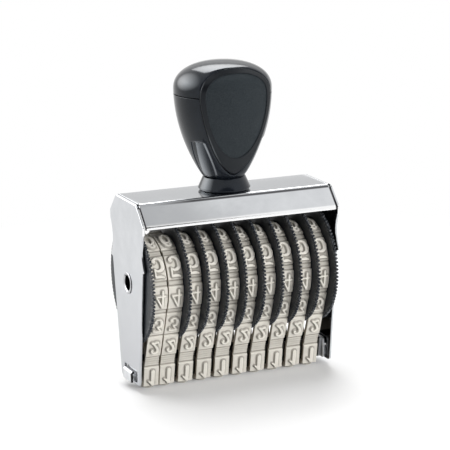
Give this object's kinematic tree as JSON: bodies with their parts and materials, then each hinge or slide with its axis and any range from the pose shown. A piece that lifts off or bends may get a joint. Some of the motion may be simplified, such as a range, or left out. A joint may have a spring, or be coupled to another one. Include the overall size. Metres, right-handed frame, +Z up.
{
  "type": "numbering machine",
  "caption": "Hand numbering stamp with rubber digit bands on thumbwheels in a folded chrome frame under a black plastic handle.",
  "frame": {"origin": "on the printing plane, in the middle of the machine: z = 0 is the printing faces of the digits", "axes": "+Z up through the handle, X along the row of wheels, front towards -Y"},
  "size_m": [0.0936, 0.0526, 0.1388],
  "materials": {
    "frame_chrome": "brushed nickel-chrome plate",
    "axle_steel": "plain rolled",
    "anvil_steel": "bright plate",
    "washer_steel": "spring steel",
    "screw_steel": "zinc plated",
    "insert_brass": "knurled",
    "wheel_black": "moulded satin",
    "band_rubber": "moulded matt",
    "handle_gloss": "semi gloss",
    "plate_matte": "fine matt"
  },
  "bodies": {
    "frame": {"frame_housing": "frame_chrome", "axle_tube": "axle_steel", "anvil": "anvil_steel", "thrust_washer": "washer_steel", "spring_washer": "washer_steel", "handle_collar": "handle_gloss", "handle_body": "handle_gloss", "handle_cap": "handle_gloss", "front_plate": "plate_matte", "rear_plate": "plate_matte", "handle_screw": "screw_steel", "screw_washer": "screw_steel", "handle_insert": "insert_brass", "band_1": "band_rubber", "band_2": "band_rubber", "band_3": "band_rubber", "band_4": "band_rubber", "band_5": "band_rubber", "band_6": "band_rubber", "band_7": "band_rubber", "band_8": "band_rubber", "band_9": "band_rubber", "band_10": "band_rubber"},
    "wheel_1": {"wheel_1": "wheel_black"},
    "wheel_2": {"wheel_2": "wheel_black"},
    "wheel_3": {"wheel_3": "wheel_black"},
    "wheel_4": {"wheel_4": "wheel_black"},
    "wheel_5": {"wheel_5": "wheel_black"},
    "wheel_6": {"wheel_6": "wheel_black"},
    "wheel_7": {"wheel_7": "wheel_black"},
    "wheel_8": {"wheel_8": "wheel_black"},
    "wheel_9": {"wheel_9": "wheel_black"},
    "wheel_10": {"wheel_10": "wheel_black"}
  },
  "joints": [
    {"name": "wheel_1_turn", "type": "hinge", "parent": "frame", "child": "wheel_1", "pos_m": [0, 0, 0.0465], "axis": [1, 0, 0], "continuous": true},
    {"name": "wheel_2_turn", "type": "hinge", "parent": "frame", "child": "wheel_2", "pos_m": [0, 0, 0.0465], "axis": [1, 0, 0], "continuous": true},
    {"name": "wheel_3_turn", "type": "hinge", "parent": "frame", "child": "wheel_3", "pos_m": [0, 0, 0.0465], "axis": [1, 0, 0], "continuous": true},
    {"name": "wheel_4_turn", "type": "hinge", "parent": "frame", "child": "wheel_4", "pos_m": [0, 0, 0.0465], "axis": [1, 0, 0], "continuous": true},
    {"name": "wheel_5_turn", "type": "hinge", "parent": "frame", "child": "wheel_5", "pos_m": [0, 0, 0.0465], "axis": [1, 0, 0], "continuous": true},
    {"name": "wheel_6_turn", "type": "hinge", "parent": "frame", "child": "wheel_6", "pos_m": [0, 0, 0.0465], "axis": [1, 0, 0], "continuous": true},
    {"name": "wheel_7_turn", "type": "hinge", "parent": "frame", "child": "wheel_7", "pos_m": [0, 0, 0.0465], "axis": [1, 0, 0], "continuous": true},
    {"name": "wheel_8_turn", "type": "hinge", "parent": "frame", "child": "wheel_8", "pos_m": [0, 0, 0.0465], "axis": [1, 0, 0], "continuous": true},
    {"name": "wheel_9_turn", "type": "hinge", "parent": "frame", "child": "wheel_9", "pos_m": [0, 0, 0.0465], "axis": [1, 0, 0], "continuous": true},
    {"name": "wheel_10_turn", "type": "hinge", "parent": "frame", "child": "wheel_10", "pos_m": [0, 0, 0.0465], "axis": [1, 0, 0], "continuous": true}
  ]
}
